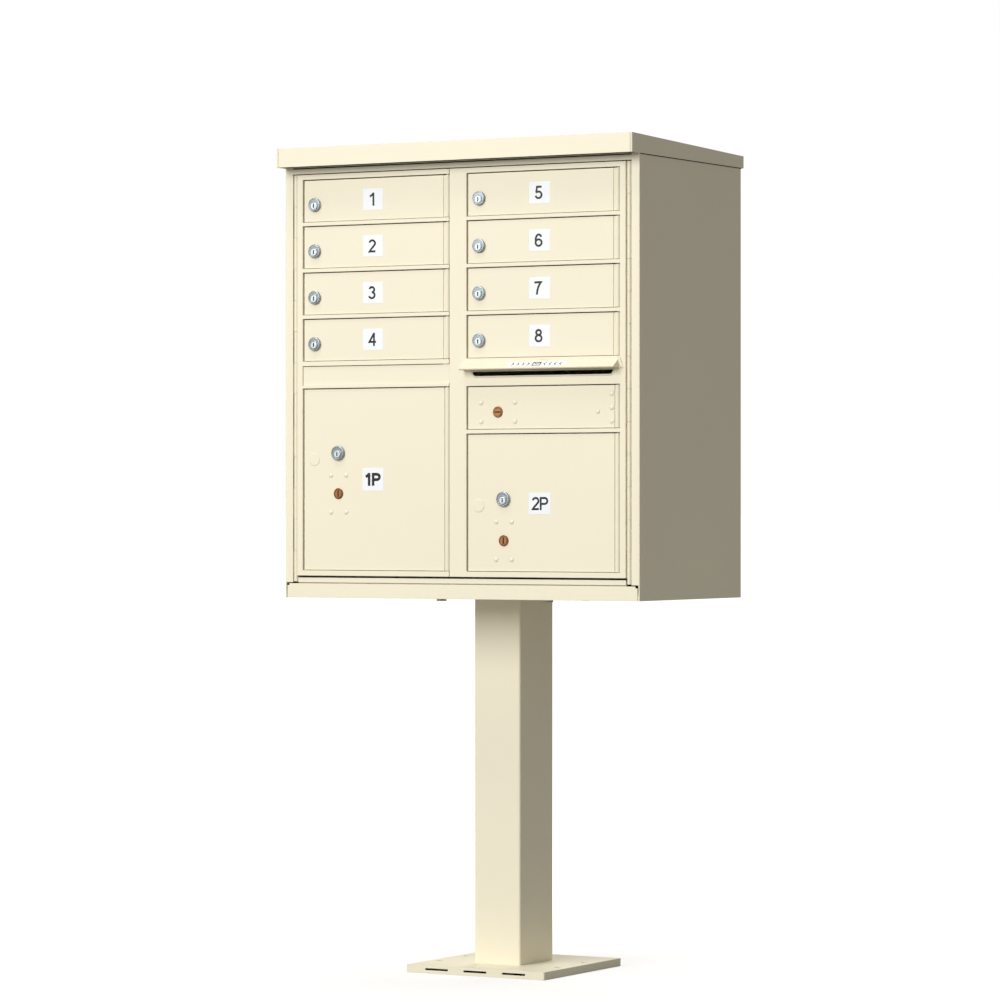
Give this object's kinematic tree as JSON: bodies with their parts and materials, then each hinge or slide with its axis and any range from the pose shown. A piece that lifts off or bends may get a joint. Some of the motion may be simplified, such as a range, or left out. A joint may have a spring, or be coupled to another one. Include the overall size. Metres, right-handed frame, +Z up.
{
  "type": "cluster mailbox unit",
  "caption": "Pedestal-mounted front-loading cluster mailbox with locked tenant doors, parcel doors, a hooded outgoing mail slot and a pitched roof cap.",
  "frame": {"origin": "on the ground under the middle of the overall box, which the roof cap's width and depth set", "axes": "+Z up the post, -Y out of the doors, +X to the right seen from the front"},
  "size_m": [0.772, 0.458, 1.5748],
  "materials": {
    "powder_coat_cream": "fine-textured satin powder coat, warm cream",
    "hinge_paint": "smooth satin powder coat, warm cream",
    "bright_zinc": "bright plated lock metal",
    "lock_brass": "brushed brass",
    "hardware_steel": "zinc-plated steel",
    "gasket_rubber": "matt black rubber"
  },
  "bodies": {
    "cabinet": {"base_pan": "powder_coat_cream", "post": "powder_coat_cream", "post_top_plate": "powder_coat_cream", "post_gasket": "gasket_rubber", "pedestal_bolts": "hardware_steel", "cabinet_wrap": "powder_coat_cream", "cabinet_floor": "powder_coat_cream", "top_panel": "powder_coat_cream", "roof_cap": "powder_coat_cream", "centre_partition": "powder_coat_cream", "compartment_shelves": "powder_coat_cream", "master_hinge_leaves": "hinge_paint"},
    "left_master": {"left_master_frame": "powder_coat_cream", "left_door_rod": "hardware_steel", "left_master_leaf": "hinge_paint"},
    "right_master": {"right_master_frame": "powder_coat_cream", "right_door_rod": "hardware_steel", "right_master_leaf": "hinge_paint", "mail_hood": "powder_coat_cream"},
    "master_latch": {"master_latch_lever": "hardware_steel"},
    "tenant_door_1": {"tenant_door_1": "powder_coat_cream", "tenant_lock_1": "bright_zinc"},
    "tenant_plug_1": {"tenant_plug_1": "bright_zinc"},
    "tenant_door_2": {"tenant_door_2": "powder_coat_cream", "tenant_lock_2": "bright_zinc"},
    "tenant_plug_2": {"tenant_plug_2": "bright_zinc"},
    "tenant_door_3": {"tenant_door_3": "powder_coat_cream", "tenant_lock_3": "bright_zinc"},
    "tenant_plug_3": {"tenant_plug_3": "bright_zinc"},
    "tenant_door_4": {"tenant_door_4": "powder_coat_cream", "tenant_lock_4": "bright_zinc"},
    "tenant_plug_4": {"tenant_plug_4": "bright_zinc"},
    "tenant_door_5": {"tenant_door_5": "powder_coat_cream", "tenant_lock_5": "bright_zinc"},
    "tenant_plug_5": {"tenant_plug_5": "bright_zinc"},
    "tenant_door_6": {"tenant_door_6": "powder_coat_cream", "tenant_lock_6": "bright_zinc"},
    "tenant_plug_6": {"tenant_plug_6": "bright_zinc"},
    "tenant_door_7": {"tenant_door_7": "powder_coat_cream", "tenant_lock_7": "bright_zinc"},
    "tenant_plug_7": {"tenant_plug_7": "bright_zinc"},
    "tenant_door_8": {"tenant_door_8": "powder_coat_cream", "tenant_lock_8": "bright_zinc"},
    "tenant_plug_8": {"tenant_plug_8": "bright_zinc"},
    "parcel_door_1": {"parcel_door_1": "powder_coat_cream", "parcel_lock_1": "bright_zinc", "parcel_bolt_lock_1": "lock_brass"},
    "parcel_plug_1": {"parcel_plug_1": "bright_zinc"},
    "parcel_bolt_plug_1": {"parcel_bolt_plug_1": "lock_brass"},
    "parcel_slide_bolt_1": {"parcel_slide_bolt_1": "hardware_steel"},
    "parcel_door_2": {"parcel_door_2": "powder_coat_cream", "parcel_lock_2": "bright_zinc", "parcel_bolt_lock_2": "lock_brass"},
    "parcel_plug_2": {"parcel_plug_2": "bright_zinc"},
    "parcel_bolt_plug_2": {"parcel_bolt_plug_2": "lock_brass"},
    "parcel_slide_bolt_2": {"parcel_slide_bolt_2": "hardware_steel"},
    "outgoing_door": {"outgoing_door": "powder_coat_cream", "outgoing_bolt_lock": "lock_brass"},
    "outgoing_bolt_plug": {"outgoing_bolt_plug": "lock_brass"},
    "outgoing_slide_bolt": {"outgoing_slide_bolt": "hardware_steel"}
  },
  "joints": [
    {"name": "left_master_hinge", "type": "hinge", "parent": "cabinet", "child": "left_master", "pos_m": [-0.3623, -0.1965, 1.135], "axis": [0, 0, -1], "range_deg": [0, 100]},
    {"name": "right_master_hinge", "type": "hinge", "parent": "cabinet", "child": "right_master", "pos_m": [0.3623, -0.1965, 1.135], "axis": [0, 0, 1], "range_deg": [0, 100]},
    {"name": "master_latch_turn", "type": "hinge", "parent": "right_master", "child": "master_latch", "pos_m": [0, -0.186, 1.095], "axis": [0, 1, 0], "range_deg": [0, 90]},
    {"name": "tenant_door_1_hinge", "type": "hinge", "parent": "left_master", "child": "tenant_door_1", "pos_m": [-0.0246, -0.197, 1.47445], "axis": [0, 0, 1], "range_deg": [0, 105]},
    {"name": "tenant_plug_1_turn", "type": "hinge", "parent": "tenant_door_1", "child": "tenant_plug_1", "pos_m": [-0.3182, -0.19, 1.465], "axis": [0, -1, 0], "range_deg": [0, 90]},
    {"name": "tenant_door_2_hinge", "type": "hinge", "parent": "left_master", "child": "tenant_door_2", "pos_m": [-0.0246, -0.197, 1.38555], "axis": [0, 0, 1], "range_deg": [0, 105]},
    {"name": "tenant_plug_2_turn", "type": "hinge", "parent": "tenant_door_2", "child": "tenant_plug_2", "pos_m": [-0.3182, -0.19, 1.3761], "axis": [0, -1, 0], "range_deg": [0, 90]},
    {"name": "tenant_door_3_hinge", "type": "hinge", "parent": "left_master", "child": "tenant_door_3", "pos_m": [-0.0246, -0.197, 1.29665], "axis": [0, 0, 1], "range_deg": [0, 105]},
    {"name": "tenant_plug_3_turn", "type": "hinge", "parent": "tenant_door_3", "child": "tenant_plug_3", "pos_m": [-0.3182, -0.19, 1.2872], "axis": [0, -1, 0], "range_deg": [0, 90]},
    {"name": "tenant_door_4_hinge", "type": "hinge", "parent": "left_master", "child": "tenant_door_4", "pos_m": [-0.0246, -0.197, 1.20775], "axis": [0, 0, 1], "range_deg": [0, 105]},
    {"name": "tenant_plug_4_turn", "type": "hinge", "parent": "tenant_door_4", "child": "tenant_plug_4", "pos_m": [-0.3182, -0.19, 1.1983], "axis": [0, -1, 0], "range_deg": [0, 90]},
    {"name": "tenant_door_5_hinge", "type": "hinge", "parent": "right_master", "child": "tenant_door_5", "pos_m": [0.3387, -0.197, 1.47445], "axis": [0, 0, 1], "range_deg": [0, 105]},
    {"name": "tenant_plug_5_turn", "type": "hinge", "parent": "tenant_door_5", "child": "tenant_plug_5", "pos_m": [0.0448, -0.19, 1.465], "axis": [0, -1, 0], "range_deg": [0, 90]},
    {"name": "tenant_door_6_hinge", "type": "hinge", "parent": "right_master", "child": "tenant_door_6", "pos_m": [0.3387, -0.197, 1.38555], "axis": [0, 0, 1], "range_deg": [0, 105]},
    {"name": "tenant_plug_6_turn", "type": "hinge", "parent": "tenant_door_6", "child": "tenant_plug_6", "pos_m": [0.0448, -0.19, 1.3761], "axis": [0, -1, 0], "range_deg": [0, 90]},
    {"name": "tenant_door_7_hinge", "type": "hinge", "parent": "right_master", "child": "tenant_door_7", "pos_m": [0.3387, -0.197, 1.29665], "axis": [0, 0, 1], "range_deg": [0, 105]},
    {"name": "tenant_plug_7_turn", "type": "hinge", "parent": "tenant_door_7", "child": "tenant_plug_7", "pos_m": [0.0448, -0.19, 1.2872], "axis": [0, -1, 0], "range_deg": [0, 90]},
    {"name": "tenant_door_8_hinge", "type": "hinge", "parent": "right_master", "child": "tenant_door_8", "pos_m": [0.3387, -0.197, 1.20775], "axis": [0, 0, 1], "range_deg": [0, 105]},
    {"name": "tenant_plug_8_turn", "type": "hinge", "parent": "tenant_door_8", "child": "tenant_plug_8", "pos_m": [0.0448, -0.19, 1.1983], "axis": [0, -1, 0], "range_deg": [0, 90]},
    {"name": "parcel_door_1_hinge", "type": "hinge", "parent": "left_master", "child": "parcel_door_1", "pos_m": [-0.0246, -0.197, 0.94095], "axis": [0, 0, 1], "range_deg": [0, 105]},
    {"name": "parcel_plug_1_turn", "type": "hinge", "parent": "parcel_door_1", "child": "parcel_plug_1", "pos_m": [-0.2654, -0.19, 0.9892], "axis": [0, -1, 0], "range_deg": [0, 90]},
    {"name": "parcel_bolt_plug_1_turn", "type": "hinge", "parent": "parcel_door_1", "child": "parcel_bolt_plug_1", "pos_m": [-0.2654, -0.19, 0.9135], "axis": [0, -1, 0], "range_deg": [0, 90]},
    {"name": "parcel_slide_bolt_1_slide", "type": "slide", "parent": "parcel_door_1", "child": "parcel_slide_bolt_1", "axis": [-1, 0, 0], "range_m": [0, 0.01202]},
    {"name": "parcel_door_2_hinge", "type": "hinge", "parent": "right_master", "child": "parcel_door_2", "pos_m": [0.3387, -0.197, 0.8962], "axis": [0, 0, 1], "range_deg": [0, 105]},
    {"name": "parcel_plug_2_turn", "type": "hinge", "parent": "parcel_door_2", "child": "parcel_plug_2", "pos_m": [0.0976, -0.19, 0.9005], "axis": [0, -1, 0], "range_deg": [0, 90]},
    {"name": "parcel_bolt_plug_2_turn", "type": "hinge", "parent": "parcel_door_2", "child": "parcel_bolt_plug_2", "pos_m": [0.0976, -0.19, 0.8248], "axis": [0, -1, 0], "range_deg": [0, 90]},
    {"name": "parcel_slide_bolt_2_slide", "type": "slide", "parent": "parcel_door_2", "child": "parcel_slide_bolt_2", "axis": [-1, 0, 0], "range_m": [0, 0.01202]},
    {"name": "outgoing_door_hinge", "type": "hinge", "parent": "right_master", "child": "outgoing_door", "pos_m": [0.3387, -0.197, 1.0742], "axis": [0, 0, 1], "range_deg": [0, 105]},
    {"name": "outgoing_bolt_plug_turn", "type": "hinge", "parent": "outgoing_door", "child": "outgoing_bolt_plug", "pos_m": [0.085, -0.19, 1.0655], "axis": [0, -1, 0], "range_deg": [0, 90]},
    {"name": "outgoing_slide_bolt_slide", "type": "slide", "parent": "outgoing_door", "child": "outgoing_slide_bolt", "axis": [-1, 0, 0], "range_m": [0, 0.01202]}
  ],
  "couplings": [
    {"joint": "parcel_bolt_plug_1_turn", "follows": "parcel_slide_bolt_1_slide", "rad_per_m": 130.68},
    {"joint": "parcel_bolt_plug_2_turn", "follows": "parcel_slide_bolt_2_slide", "rad_per_m": 130.68},
    {"joint": "outgoing_bolt_plug_turn", "follows": "outgoing_slide_bolt_slide", "rad_per_m": 130.68}
  ]
}
